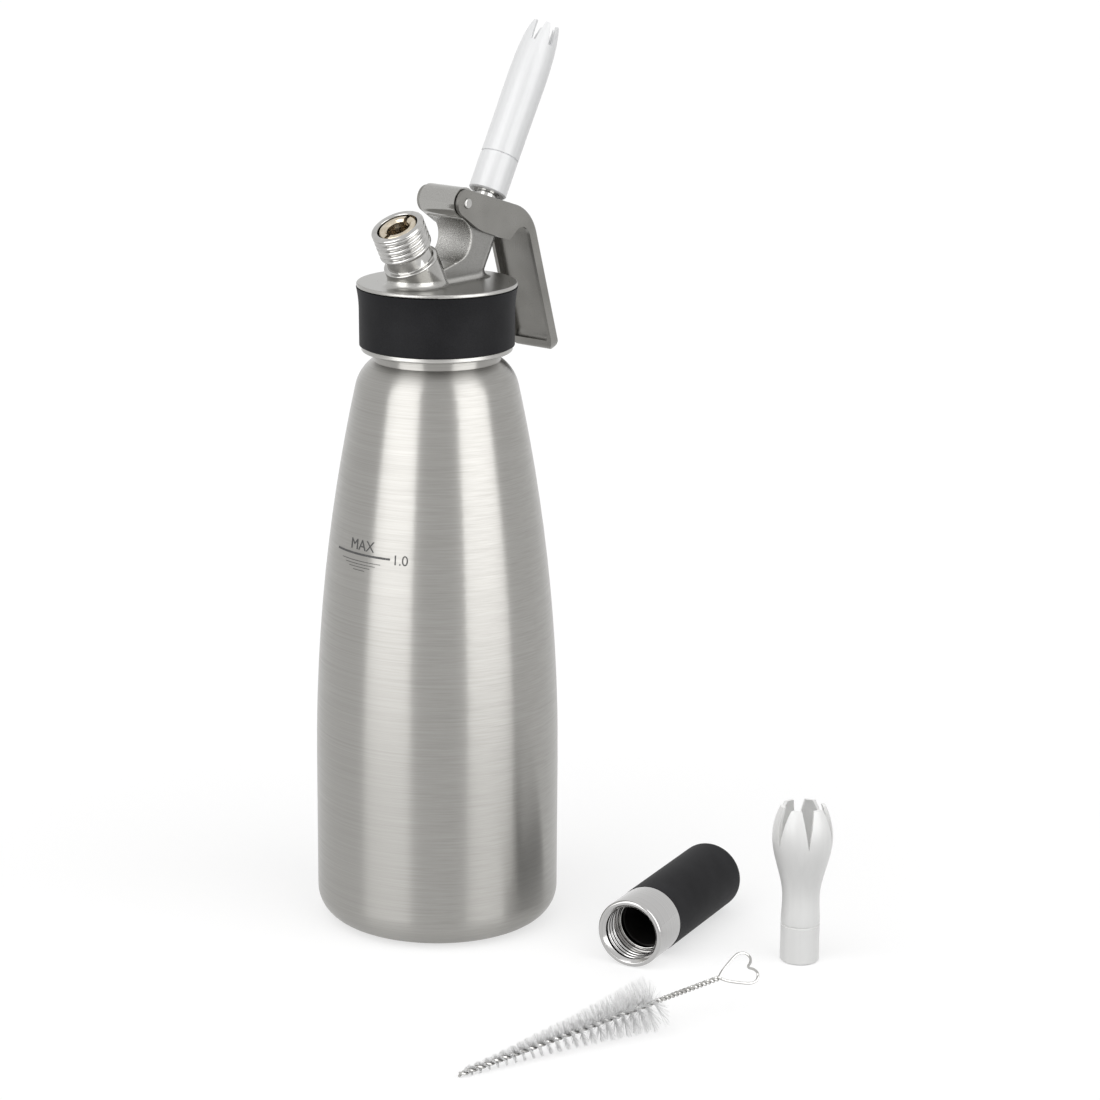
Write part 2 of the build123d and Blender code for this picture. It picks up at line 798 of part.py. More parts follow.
def tip_body(plane, axis, foot, stations, mouth_lean):
    """A tip turned from its base sleeve up through stations of outer radius and height."""
    with BuildPart() as tip:
        with BuildSketch(plane):
            with BuildLine():
                outer = Spline(
                    (tip_base_r, foot + tip_groove_height),
                    *[(radius, foot + height) for radius, height in stations],
                    tangents=[(0, 1), (-mouth_lean, 1)],
                )
                inner = Spline(
                    *[(radius - tip_wall, foot + height) for radius, height in reversed(stations)],
                    (tip_throat_r, foot + tip_throat_top),
                    tangents=[(mouth_lean, -1), (0, -1)],
                )
                Line(outer @ 1, inner @ 0)
                Polyline(
                    inner @ 1,
                    (tip_throat_r, foot + tip_shoulder),
                    (bush_outer_r + running_fit, foot + tip_shoulder),
                    (bush_outer_r + running_fit, foot),
                    (tip_base_r - tip_base_chamfer, foot),
                    (tip_base_r, foot + tip_base_chamfer),
                    outer @ 0,
                )
            make_face()
        revolve(axis=axis)
        with BuildSketch(plane):
            with Locations((tip_base_r, foot + tip_groove_height)):
                Rectangle(2 * tip_groove_depth, tip_groove_width)
        revolve(axis=axis, mode=Mode.SUBTRACT)
    return tip.part


def slot_planes(plane, turn):
    """Planes through a tip's axis, each square to one pair of opposite slots."""
    planes = []
    for count in range(petal_count // 2):
        angle = radians(turn + count * 360 / petal_count)
        width_dir = plane.x_dir * cos(angle) - plane.z_dir * sin(angle)
        planes.append(Plane(origin=plane.origin, x_dir=width_dir, z_dir=width_dir.cross(plane.y_dir)))
    return planes


with BuildPart() as nozzle_bush:
    add(thread_bush(spout_plane, spout_axis, nozzle_base_s))
nozzle_bush.part.label = "nozzle_bush"
export_step(nozzle_bush.part, "parts/nozzle_bush.step")

with BuildPart() as nozzle_seal:
    add(tip_seal(spout_plane, spout_axis, nozzle_base_s))
nozzle_seal.part.label = "nozzle_seal"
export_step(nozzle_seal.part, "parts/nozzle_seal.step")

# Straight tip: slightly barrelled tube, six slots that widen towards the mouth.
nozzle_stations = [(nozzle_belly_r, nozzle_belly_height), (nozzle_mouth_r, nozzle_length)]
nozzle_tip_s = nozzle_base_s + nozzle_length
nozzle_slot_s = nozzle_tip_s - nozzle_slot_depth
nozzle_slot_top = nozzle_tip_s + seat_gap

with BuildPart() as straight_nozzle:
    add(tip_body(spout_plane, spout_axis, nozzle_base_s, nozzle_stations, nozzle_mouth_lean))
    for slot_plane in slot_planes(spout_plane, nozzle_turn):
        with BuildSketch(slot_plane):
            with BuildLine():
                Polyline(
                    (-nozzle_slot_root / 2, nozzle_slot_s),
                    (nozzle_slot_root / 2, nozzle_slot_s),
                    (nozzle_slot_mouth / 2, nozzle_slot_top),
                    (-nozzle_slot_mouth / 2, nozzle_slot_top),
                    close=True,
                )
            make_face()
        extrude(amount=2 * nozzle_belly_r, both=True, mode=Mode.SUBTRACT)
straight_nozzle.part.label = "straight_nozzle"
export_step(straight_nozzle.part, "parts/straight_nozzle.step")

# Tulip tip: stands on its base, with a swelling cup cut into pointed petals.
tulip_plane = Plane(origin=(tulip_x, tulip_y, 0), x_dir=(1, 0, 0), z_dir=(0, -1, 0))
tulip_axis = Axis((tulip_x, tulip_y, 0), (0, 0, 1))
tulip_stations = [
    (tulip_waist_r, tulip_waist_height),
    (tulip_belly_r, tulip_belly_height),
    (tulip_mouth_r, tulip_height),
]
tulip_slot_top = tulip_height + seat_gap

with BuildPart() as tulip_bush:
    add(thread_bush(tulip_plane, tulip_axis, 0))
tulip_bush.part.label = "tulip_bush"
export_step(tulip_bush.part, "parts/tulip_bush.step")

with BuildPart() as tulip_seal:
    add(tip_seal(tulip_plane, tulip_axis, 0))
tulip_seal.part.label = "tulip_seal"
export_step(tulip_seal.part, "parts/tulip_seal.step")

with BuildPart() as tulip_tip:
    add(tip_body(tulip_plane, tulip_axis, 0, tulip_stations, tulip_mouth_lean))
    for slot_plane in slot_planes(tulip_plane, tulip_turn):
        with BuildSketch(slot_plane):
            with BuildLine():
                Polyline(
                    (0, tulip_slot_height),
                    (tulip_slot_width / 2, tulip_slot_top),
                    (-tulip_slot_width / 2, tulip_slot_top),
                    close=True,
                )
            make_face()
        extrude(amount=2 * tulip_belly_r, both=True, mode=Mode.SUBTRACT)
tulip_tip.part.label = "tulip_tip"
export_step(tulip_tip.part, "parts/tulip_tip.step")

# --- Charger holder -----------------------------------------------------------------
# It lies on its side; local x is the radius and local y runs from the mouth inwards.
holder_heading = radians(holder_turn)
holder_along = Vector(cos(holder_heading), sin(holder_heading), 0)
holder_grip_r = holder_r + seat_gap
holder_plane = Plane(
    origin=(holder_x, holder_y, holder_grip_r),
    x_dir=(0, 0, 1),
    z_dir=(-holder_along.Y, holder_along.X, 0),
)
holder_axis = Axis(holder_plane.origin, holder_along)
relief_end = holder_thread_length + holder_relief_length
tube_end = holder_length - holder_floor
liner_start = relief_end + holder_ring_height + 2 * seat_gap
liner_r = holder_ring_r - seat_gap
ring_bore_r = holder_bore_r + free_gap

with BuildPart() as holder_sleeve:
    with BuildSketch(holder_plane):
        with BuildLine():
            Polyline(
                (holder_thread_r + holder_thread_chamfer, 0),
                (holder_r - holder_lip, 0),
                (holder_r, holder_lip),
                (holder_r, holder_sleeve_length),
                (holder_tube_r, holder_sleeve_length),
                (holder_tube_r, tube_end),
                (holder_ring_r, tube_end),
                (holder_ring_r, relief_end),
                (holder_relief_r, relief_end),
                (holder_relief_r, holder_thread_length),
                (holder_thread_r, holder_thread_length),
                (holder_thread_r, holder_thread_chamfer),
                close=True,
            )
        make_face()
    revolve(axis=holder_axis)
holder_sleeve.part.label = "holder_sleeve"
export_step(holder_sleeve.part, "parts/holder_sleeve.step")

with BuildPart() as holder_ring:
    with BuildSketch(holder_plane):
        with Locations(((ring_bore_r + liner_r) / 2, relief_end + seat_gap + holder_ring_height / 2)):
            RectangleRounded(liner_r - ring_bore_r, holder_ring_height, holder_ring_round)
    revolve(axis=holder_axis)
holder_ring.part.label = "holder_ring"
export_step(holder_ring.part, "parts/holder_ring.step")

with BuildPart() as holder_liner:
    with BuildSketch(holder_plane):
        with BuildLine():
            Polyline(
                (holder_bore_r, liner_start),
                (liner_r, liner_start),
                (liner_r, tube_end),
                (0, tube_end),
                (0, tube_end - liner_floor),
                (holder_bore_r, tube_end - liner_floor),
                close=True,
            )
        make_face()
    revolve(axis=holder_axis)
holder_liner.part.label = "holder_liner"
export_step(holder_liner.part, "parts/holder_liner.step")

with BuildPart() as holder_grip:
    with BuildSketch(holder_plane):
        with BuildLine():
            end = FilletPolyline(
                (0, holder_length),
                (holder_grip_r, holder_length),
                (holder_grip_r, holder_sleeve_length + seat_gap),
                radius=holder_end_round,
            )
            Polyline(
                end @ 1,
                (holder_tube_r + running_fit, holder_sleeve_length + seat_gap),
                (holder_tube_r + running_fit, tube_end + seat_gap),
                (0, tube_end + seat_gap),
                end @ 0,
            )
        make_face()
    revolve(axis=holder_axis)
holder_grip.part.label = "holder_grip"
export_step(holder_grip.part, "parts/holder_grip.step")

# --- Cleaning brush -----------------------------------------------------------------
# Its point and the rim of its bristles lie on the ground, so the wire climbs gently.
brush_heading = radians(brush_turn)
brush_rise = (bristle_r - brush_wire_r) / bristle_end
brush_along = Vector(cos(brush_heading), sin(brush_heading), brush_rise).normalized()
brush_lift = sqrt(1 + brush_rise**2)
brush_side = Vector(-sin(brush_heading), cos(brush_heading), 0)
brush_up = brush_along.cross(brush_side)
brush_foot = Vector(brush_x, brush_y, brush_wire_r / brush_lift)
brush_plane = Plane(origin=brush_foot, x_dir=brush_side, z_dir=brush_side.cross(brush_along))
brush_axis = Axis(brush_foot, brush_along)
heart_side = brush_side * cos(radians(heart_roll)) + brush_up * sin(radians(heart_roll))
heart_plane = Plane(
    origin=brush_foot + brush_along * brush_stem_length,
    x_dir=heart_side,
    z_dir=heart_side.cross(brush_along),
)

with BuildPart() as brush_wire:
    with BuildSketch(Plane(origin=brush_foot, z_dir=brush_along)):
        Circle(brush_wire_r)
    extrude(amount=brush_stem_length)
    # Handle: the wire bent into a heart, with both its ends in the stem.
    with BuildLine(heart_plane):
        heart_side_points = [
            (heart_root_x, -heart_root),
            (heart_flank_x, heart_flank_s),
            (heart_half, heart_shoulder_s),
            (heart_lobe_x, heart_length - heart_lobe_drop),
        ]
        loop = Spline(
            *heart_side_points,
            (0, heart_length - heart_notch),
            *[(-x, s) for x, s in reversed(heart_side_points)],
            tangents=[(heart_root_lean, 1), (heart_root_lean, -1)],
        )
    with BuildSketch(Plane(origin=loop @ 0, z_dir=loop % 0)):
        Circle(brush_loop_wire_r)
    sweep(path=loop)
brush_wire.part.label = "brush_wire"
export_step(brush_wire.part, "parts/brush_wire.step")

with BuildPart() as brush_bristles:
    with BuildSketch(brush_plane):
        with BuildLine():
            Polyline(
                (brush_wire_r + running_fit, bristle_start),
                (bristle_tip_r, bristle_start),
                (bristle_mid_r, bristle_mid),
                (bristle_r, bristle_end),
                (brush_wire_r + running_fit, bristle_end),
                close=True,
            )
        make_face()
    revolve(axis=brush_axis)
brush_bristles.part.label = "brush_bristles"
export_step(brush_bristles.part, "parts/brush_bristles.step")
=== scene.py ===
from math import cos, pi, radians, sin, sqrt, tan, tau
import random

import bmesh
import bpy
from mathutils import Matrix, Vector


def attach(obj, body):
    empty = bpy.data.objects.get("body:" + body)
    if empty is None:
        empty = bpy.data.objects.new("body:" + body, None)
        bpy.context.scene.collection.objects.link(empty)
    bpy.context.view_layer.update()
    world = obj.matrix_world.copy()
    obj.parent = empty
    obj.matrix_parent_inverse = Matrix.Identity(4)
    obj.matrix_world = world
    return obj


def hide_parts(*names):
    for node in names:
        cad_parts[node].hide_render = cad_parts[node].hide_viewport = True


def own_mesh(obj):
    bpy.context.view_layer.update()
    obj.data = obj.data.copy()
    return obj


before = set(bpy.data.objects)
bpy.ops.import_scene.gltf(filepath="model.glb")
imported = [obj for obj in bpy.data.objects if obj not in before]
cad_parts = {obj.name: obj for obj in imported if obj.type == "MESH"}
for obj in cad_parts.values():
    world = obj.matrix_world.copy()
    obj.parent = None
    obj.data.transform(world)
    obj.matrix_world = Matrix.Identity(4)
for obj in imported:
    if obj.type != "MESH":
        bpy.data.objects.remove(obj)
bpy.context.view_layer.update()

# Sizes are in millimetres, in the part's own frame; MM turns them into Blender's metres.
MM = 0.001

# --- The part's axes and sizes, as the frame has them -------------------------------
disc_top_z = 254.0
stud_tilt = radians(28.0)
stud_root = Vector((-9.75, 0, disc_top_z))
stud_along = Vector((-sin(stud_tilt), 0, cos(stud_tilt)))
spout_tilt = radians(29.0)
spout_along = Vector((sin(spout_tilt), 0, cos(spout_tilt)))
spout_root = Vector((11.84, 0, disc_top_z))
spring_r = 4.9
spring_foot = -1.5
spring_rise = 10.0
spring_turns = 5
spring_wire_r = 0.4
pivot = Vector((5.6, 0, 284.2))
scoop_centre = Vector((1.7, 0, 270.3))
scoop_r = 8.1
barrel_r = 5.9
boss_r = 10.65
boss_height = 10.3

bottle_r = 47.5
taper_foot_z = 65.0
taper_top_z = 214.0
taper_top_r = 31.4
neck_r = 24.6

stud_thread_r = 10.3
stud_thread_start = 16.5
stud_thread_lead = 0.75
stud_neck_r = 9.0
stud_taper = 0.9
stud_shoulder = 0.8
stud_tip = 27.0
stud_bore_r = 7.9
stud_bore_floor = 12.0
stud_foot = 2.1
stud_spigot_r = 7.5
gas_way_r = 1.5
charger_pitch = 2.1
charger_thread_depth = 0.85

holder_mouth = Vector((2.2, -96.2, 13.36))
holder_heading = radians(13.3)
holder_along = Vector((cos(holder_heading), sin(holder_heading), 0))
holder_r = 13.26
holder_sleeve_length = 17.8
holder_tube_r = 11.6
holder_tube_end = 73.4
holder_seat_r = 10.9
holder_relief_r = 11.2
holder_relief_end = 12.5
holder_relief_gap = 0.3
holder_thread_r = 10.4
holder_thread_depth = 0.7
holder_thread_end = 8.5
holder_thread_mouth = 1.3
holder_thread_lead = 0.8
holder_lip = 1.3

brush_foot_x = -119.7
brush_foot_y = -117.4
brush_heading = radians(-16.9)
brush_stem_length = 113.8
brush_reach_r = 1.15
bristle_start = 14.0
bristle_mid = 50.0
bristle_end = 84.0
bristle_foot_r = 1.9
bristle_tip_r = 2.4
bristle_mid_r = 6.0
bristle_r = 10.9
heart_roll = radians(50.0)


# --- Shader nodes -------------------------------------------------------------------
def node(tree, kind, inputs=None, **settings):
    """Adds a shader node; inputs are sockets to link from, or plain values."""
    made = tree.nodes.new("ShaderNode" + kind)
    for key, value in settings.items():
        setattr(made, key, value)
    for key, value in (inputs or {}).items():
        if isinstance(value, bpy.types.NodeSocket):
            tree.links.new(value, made.inputs[key])
        else:
            made.inputs[key].default_value = value
    return made


def maths(tree, operation, first, second=0.0):
    """The result of a Math node."""
    return node(tree, "Math", {0: first, 1: second}, operation=operation).outputs[0]


def mapped(tree, value, low, high, to_low, to_high):
    """A value carried from one range to another, and kept inside it."""
    ranges = {"Value": value, "From Min": low, "From Max": high, "To Min": to_low, "To Max": to_high}
    return node(tree, "MapRange", ranges).outputs[0]


def two_tone(tree, value, low, high, start=0.3, end=0.7):
    """A colour that goes from low to high as a value goes from start to end."""
    made = node(tree, "ValToRGB", {"Fac": value})
    first, last = made.color_ramp.elements
    first.position = start
    first.color = (*low, 1)
    last.position = end
    last.color = (*high, 1)
    return made.outputs["Color"]


def place_of(tree):
    """The point of the surface in the part's frame, in metres."""
    return node(tree, "TexCoord").outputs["Object"]


def noise(tree, vector, scale, detail=2.0, roughness=0.5):
    """Noise from 0 to 1 with a number of cells in each metre."""
    settings = {"Vector": vector, "Scale": scale, "Detail": detail, "Roughness": roughness}
    return node(tree, "TexNoise", settings).outputs["Fac"]


def turned_marks(tree, per_metre, drift):
    """Fine rings round the z axis, as a lathe or a brushing belt leaves them."""
    place = node(tree, "SeparateXYZ", {"Vector": place_of(tree)})
    flat = node(tree, "CombineXYZ", {"X": place.outputs[0], "Y": place.outputs[1]})
    radius = node(tree, "VectorMath", {0: flat.outputs[0]}, operation="LENGTH").outputs["Value"]
    across = maths(tree, "MULTIPLY", radius, per_metre)
    up = maths(tree, "MULTIPLY", place.outputs[2], per_metre)
    along = maths(tree, "MULTIPLY", place.outputs[0], drift)
    rings = node(tree, "CombineXYZ", {"X": across, "Y": up, "Z": along})
    return noise(tree, rings.outputs[0], 1.0, detail=3.0, roughness=0.6)


def near_line(tree, point, direction, reach, blur):
    """1 within reach of a line and 0 outside it; sizes in millimetres."""
    place = place_of(tree)
    offset = node(tree, "VectorMath", {0: place, 1: tuple(point * MM)}, operation="SUBTRACT")
    sockets = {0: offset.outputs[0], 1: tuple(direction)}
    turned = node(tree, "VectorMath", sockets, operation="CROSS_PRODUCT")
    distance = node(tree, "VectorMath", {0: turned.outputs[0]}, operation="LENGTH").outputs["Value"]
    return mapped(tree, distance, (reach - blur) * MM, (reach + blur) * MM, 1.0, 0.0)


def side_faces(tree, start_z, end_z):
    """1 on faces that look along the y axis, fading in between two heights in millimetres."""
    normal = node(tree, "SeparateXYZ", {"Vector": node(tree, "TexCoord").outputs["Normal"]})
    sideways = mapped(tree, maths(tree, "ABSOLUTE", normal.outputs[1]), 0.95, 0.99, 0.0, 1.0)
    height = node(tree, "SeparateXYZ", {"Vector": place_of(tree)}).outputs[2]
    raised = mapped(tree, height, start_z * MM, end_z * MM, 0.0, 1.0)
    return maths(tree, "MULTIPLY", sideways, raised)


def start_material(name, inputs):
    """A material with a principled shader; returns the material, its tree and the shader."""
    made = bpy.data.materials.new(name)
    made.use_nodes = True
    tree = made.node_tree
    shader = tree.nodes["Principled BSDF"]
    for key, value in inputs.items():
        shader.inputs[key].default_value = value
    return made, tree, shader


def set_surface(tree, shader, colour, roughness):
    """Drives the shader's base colour and its roughness."""
    tree.links.new(colour, shader.inputs["Base Color"])
    tree.links.new(roughness, shader.inputs["Roughness"])


def set_bump(tree, shader, height, strength, distance):
    """Drives the shader's normal from a height; the distance is in millimetres."""
    settings = {"Height": height, "Strength": strength, "Distance": distance * MM}
    tree.links.new(node(tree, "Bump", settings).outputs[0], shader.inputs["Normal"])


# --- Materials ----------------------------------------------------------------------
def brushed_steel():
    """The bottle: stainless steel with fine rings all round, and streaks where the belt bit."""
    inputs = {"Metallic": 1.0, "Anisotropic": 0.93, "Anisotropic Rotation": 0.25}
    made, tree, shader = start_material("brushed_steel", inputs)
    marks = turned_marks(tree, per_metre=2800.0, drift=110.0)
    streaks = turned_marks(tree, per_metre=1100.0, drift=45.0)
    fine = maths(tree, "MULTIPLY", marks, 0.6)
    both = maths(tree, "ADD", fine, maths(tree, "MULTIPLY", streaks, 0.4))
    colour = two_tone(tree, both, (0.305, 0.298, 0.282), (0.375, 0.368, 0.352))
    set_surface(tree, shader, colour, mapped(tree, both, 0.3, 0.7, 0.37, 0.31))
    set_bump(tree, shader, marks, strength=0.07, distance=0.015)
    tangent = node(tree, "Tangent", direction_type="RADIAL", axis="Z")
    tree.links.new(tangent.outputs[0], shader.inputs["Tangent"])
    return made


def satin_steel():
    """The head: turned disc, polished barrel and stud boss, rough cast scoop, and flanks facing along
    y with painted shade to dim the softbox's reflection in them.
    """
    # Share of the bare colour left on the flanks: painted shade.
    flank_shade_share = 0.62
    made, tree, shader = start_material("satin_steel", {"Metallic": 1.0, "Anisotropic": 0.3})
    across = Vector((0, 1, 0))
    scoop = near_line(tree, scoop_centre, across, reach=scoop_r + 0.55, blur=0.1)
    barrel = near_line(tree, pivot, across, reach=barrel_r + 0.3, blur=0.1)
    boss = near_line(tree, stud_root, stud_along, reach=boss_r + 0.2, blur=0.3)
    polished = maths(tree, "MAXIMUM", barrel, boss)
    unpolished = maths(tree, "SUBTRACT", 1.0, polished)
    cast = maths(tree, "MULTIPLY", scoop, unpolished)
    # Painted shade: faces that look along y above the disc get a darker colour, which dims the softbox
    # reflected in them.
    shaded_flank = maths(tree, "MULTIPLY", side_faces(tree, disc_top_z + 0.5, disc_top_z + 1.5), unpolished)
    marks = turned_marks(tree, per_metre=2200.0, drift=40.0)
    bare = two_tone(tree, marks, (0.34, 0.335, 0.32), (0.41, 0.405, 0.39))
    share = mapped(tree, shaded_flank, 0.0, 1.0, 1.0, flank_shade_share)
    colour = node(tree, "VectorMath", {0: bare, "Scale": share}, operation="SCALE")
    smooth = mapped(tree, polished, 0.0, 1.0, 0.30, 0.09)
    rough = maths(tree, "SUBTRACT", smooth, maths(tree, "MULTIPLY", cast, 0.05))
    varied = maths(tree, "ADD", rough, mapped(tree, marks, 0.3, 0.7, -0.03, 0.03))
    set_surface(tree, shader, colour.outputs[0], varied)
    grains = noise(tree, place_of(tree), 1500.0, detail=3.0, roughness=0.7)
    relief = maths(tree, "MULTIPLY", grains, mapped(tree, cast, 0.0, 1.0, 0.10, 2.6))
    set_bump(tree, shader, relief, strength=0.8, distance=0.12)
    return made


def lever_steel():
    """The lever: a bead-blasted casting with an even, soft shine."""
    made, tree, shader = start_material("lever_steel", {"Metallic": 1.0})
    grains = noise(tree, place_of(tree), 2400.0, detail=3.0, roughness=0.7)
    clouds = noise(tree, place_of(tree), 60.0)
    colour = two_tone(tree, clouds, (0.19, 0.186, 0.174), (0.24, 0.235, 0.222))
    set_surface(tree, shader, colour, mapped(tree, grains, 0.3, 0.7, 0.26, 0.34))
    set_bump(tree, shader, grains, strength=0.25, distance=0.05)
    return made


def polished_steel(name="polished_steel", bright=(0.50, 0.495, 0.48)):
    """Machined and polished pieces, with a trace of handling in their shine."""
    made, tree, shader = start_material(name, {"Metallic": 1.0})
    clouds = noise(tree, place_of(tree), 350.0, detail=4.0)
    colour = two_tone(tree, clouds, (0.40, 0.395, 0.385), bright)
    set_surface(tree, shader, colour, mapped(tree, clouds, 0.3, 0.7, 0.07, 0.13))
    set_bump(tree, shader, noise(tree, place_of(tree), 1800.0), strength=0.08, distance=0.02)
    return made


def sleeve_steel():
    """The charger holder's mouth: polished, with faint rings from turning."""
    per_metre = 2400.0
    made, tree, shader = start_material("sleeve_steel", {"Metallic": 1.0})
    sockets = {0: place_of(tree), 1: tuple(holder_along)}
    place = node(tree, "VectorMath", sockets, operation="DOT_PRODUCT").outputs["Value"]
    rings = node(tree, "CombineXYZ", {"X": maths(tree, "MULTIPLY", place, per_metre)})
    marks = noise(tree, rings.outputs[0], 1.0)
    colour = two_tone(tree, marks, (0.42, 0.415, 0.41), (0.52, 0.515, 0.51))
    set_surface(tree, shader, colour, mapped(tree, marks, 0.3, 0.7, 0.10, 0.18))
    set_bump(tree, shader, marks, strength=0.05, distance=0.02)
    return made


def black_silicone():
    """Grip sleeves: matte black with the fine speckle of a moulded, dusted surface."""
    made, tree, shader = start_material("black_silicone", {"Specular IOR Level": 0.14})
    speckle = noise(tree, place_of(tree), 2600.0, detail=4.0, roughness=0.75)
    clouds = noise(tree, place_of(tree), 90.0)
    mixed = maths(tree, "MULTIPLY", speckle, mapped(tree, clouds, 0.3, 0.7, 0.85, 1.15))
    colour = two_tone(tree, mixed, (0.004, 0.004, 0.005), (0.017, 0.017, 0.019), 0.35, 0.75)
    set_surface(tree, shader, colour, mapped(tree, speckle, 0.3, 0.7, 0.52, 0.66))
    set_bump(tree, shader, speckle, strength=0.35, distance=0.08)
    return made


def lengthwise(tree, along):
    """Soft streaks that run along an axis, as melted plastic leaves in a long mould."""
    along_per_metre = 14.0
    across_per_metre = 420.0
    side = Vector((0, 1, 0))
    scaled = {
        "X": along * along_per_metre,
        "Y": side * across_per_metre,
        "Z": along.cross(side) * across_per_metre,
    }
    parts = {}
    for socket, direction in scaled.items():
        sockets = {0: place_of(tree), 1: tuple(direction)}
        product = node(tree, "VectorMath", sockets, operation="DOT_PRODUCT")
        parts[socket] = product.outputs["Value"]
    return noise(tree, node(tree, "CombineXYZ", parts).outputs[0], 1.0, detail=3.0)


def moulded_plastic(name, along, low, high, roughness):
    """Moulded tips: pale plastic with a soft gloss and faint streaks along it."""
    spread = 0.03
    made, tree, shader = start_material(name, {"Coat Weight": 0.25, "Coat Roughness": 0.22})
    clouds = lengthwise(tree, along)
    varied = mapped(tree, clouds, 0.3, 0.7, roughness - spread, roughness + spread)
    set_surface(tree, shader, two_tone(tree, clouds, low, high), varied)
    set_bump(tree, shader, noise(tree, place_of(tree), 900.0), strength=0.05, distance=0.03)
    return made


def dull_plastic(name, low, high):
    """Inner plastic and rubber pieces with a fine moulded grain."""
    made, tree, shader = start_material(name, {"Specular IOR Level": 0.4})
    grain = noise(tree, place_of(tree), 1400.0, detail=3.0)
    colour = two_tone(tree, grain, low, high)
    set_surface(tree, shader, colour, mapped(tree, grain, 0.3, 0.7, 0.45, 0.6))
    set_bump(tree, shader, grain, strength=0.2, distance=0.05)
    return made


def plated_brass():
    """The slotted insert and the valve's bush: brass under thin, worn nickel."""
    made, tree, shader = start_material("plated_brass", {"Metallic": 1.0})
    clouds = noise(tree, place_of(tree), 500.0, detail=4.0)
    colour = two_tone(tree, clouds, (0.50, 0.43, 0.33), (0.62, 0.56, 0.46))
    set_surface(tree, shader, colour, mapped(tree, clouds, 0.3, 0.7, 0.22, 0.30))
    set_bump(tree, shader, noise(tree, place_of(tree), 2200.0), strength=0.1, distance=0.03)
    return made


def nylon():
    """Bristles: thin white nylon that light passes through."""
    made, tree, shader = start_material("nylon", {"Roughness": 0.4, "Specular IOR Level": 0.3})
    strands = noise(tree, place_of(tree), 700.0)
    white = two_tone(tree, strands, (0.93, 0.93, 0.93), (0.99, 0.99, 0.99))
    tree.links.new(white, shader.inputs["Base Color"])
    through = node(tree, "BsdfTranslucent", {"Color": white})
    both = node(tree, "MixShader", {"Fac": 0.85, 1: shader.outputs[0], 2: through.outputs[0]})
    tree.links.new(both.outputs[0], tree.nodes["Material Output"].inputs["Surface"])
    return made


def printed_ink():
    """The fill mark's dark print, a little worn."""
    made, tree, shader = start_material("printed_ink", {"Roughness": 0.5})
    wear = noise(tree, place_of(tree), 1600.0, detail=3.0)
    colour = two_tone(tree, wear, (0.035, 0.035, 0.035), (0.10, 0.10, 0.098), 0.3, 0.75)
    tree.links.new(colour, shader.inputs["Base Color"])
    return made


steel = brushed_steel()
satin = satin_steel()
blasted = lever_steel()
polished = polished_steel()
wire_steel = polished_steel("wire_steel", bright=(0.52, 0.515, 0.50))
turned = sleeve_steel()
silicone = black_silicone()
pearl = moulded_plastic(
    "pearl_plastic", spout_along, (0.82, 0.825, 0.83), (0.89, 0.895, 0.90), roughness=0.34
)
cream = moulded_plastic(
    "white_plastic", Vector((0, 0, 1)), (0.88, 0.88, 0.87), (0.92, 0.92, 0.91), roughness=0.36
)
liner = dull_plastic("liner_plastic", (0.010, 0.009, 0.009), (0.02, 0.019, 0.018))
rubber = dull_plastic("seal_rubber", (0.02, 0.02, 0.02), (0.045, 0.045, 0.045))
brass = plated_brass()
bristle = nylon()
ink = printed_ink()


# --- Mesh helpers -------------------------------------------------------------------
weld_gap = 0.0005
same_radius = 0.001


def axis_place(origin, along, side):
    """Matrix whose local z runs along an axis and whose local x is the given side."""
    along = along.normalized()
    across = along.cross(side).normalized()
    side = across.cross(along)
    rotation = Matrix((side, across, along)).transposed().to_4x4()
    return Matrix.Translation(origin) @ rotation


def add_piece(name, points, faces, material, body, sharp=40.0):
    """A mesh object from millimetre points, riding on a body of the frame."""
    mesh = bpy.data.meshes.new(name)
    mesh.from_pydata([tuple(point * MM) for point in points], [], faces)
    shape = bmesh.new()
    shape.from_mesh(mesh)
    bmesh.ops.remove_doubles(shape, verts=shape.verts, dist=weld_gap * MM)
    bmesh.ops.recalc_face_normals(shape, faces=shape.faces)
    shape.to_mesh(mesh)
    shape.free()
    mesh.polygons.foreach_set("use_smooth", [True] * len(mesh.polygons))
    mesh.set_sharp_from_angle(angle=radians(sharp))
    mesh.materials.append(material)
    piece = bpy.data.objects.new(name, mesh)
    bpy.context.scene.collection.objects.link(piece)
    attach(piece, body)
    return piece


def rounded(corners, steps=5):
    """A closed section from (radius, height, corner radius) with arcs at its corners."""
    section = []
    for count, (radius, height, corner) in enumerate(corners):
        here = Vector((radius, height))
        if not corner:
            section.append(here)
            continue
        back = (Vector(corners[count - 1][:2]) - here).normalized()
        ahead = (Vector(corners[(count + 1) % len(corners)][:2]) - here).normalized()
        half = back.angle(ahead) / 2
        centre = here + (back + ahead).normalized() * corner / sin(half)
        start = here + back * corner / tan(half) - centre
        end = here + ahead * corner / tan(half) - centre
        for step in range(steps + 1):
            section.append(centre + start.lerp(end, step / steps).normalized() * corner)
    return section


def thread_line(radius, start, end, step=0.15):
    """Closely spaced corners along a threaded stretch of a section."""
    count = round(abs(end - start) / step)
    return [(radius, start + (end - start) * index / count, 0) for index in range(count + 1)]


def groove(height, angle, pitch):
    """Depth from 0 to 1 of a rounded helical groove, deepest once in each pitch."""
    return (0.5 + 0.5 * cos(tau * height / pitch - angle)) ** 2


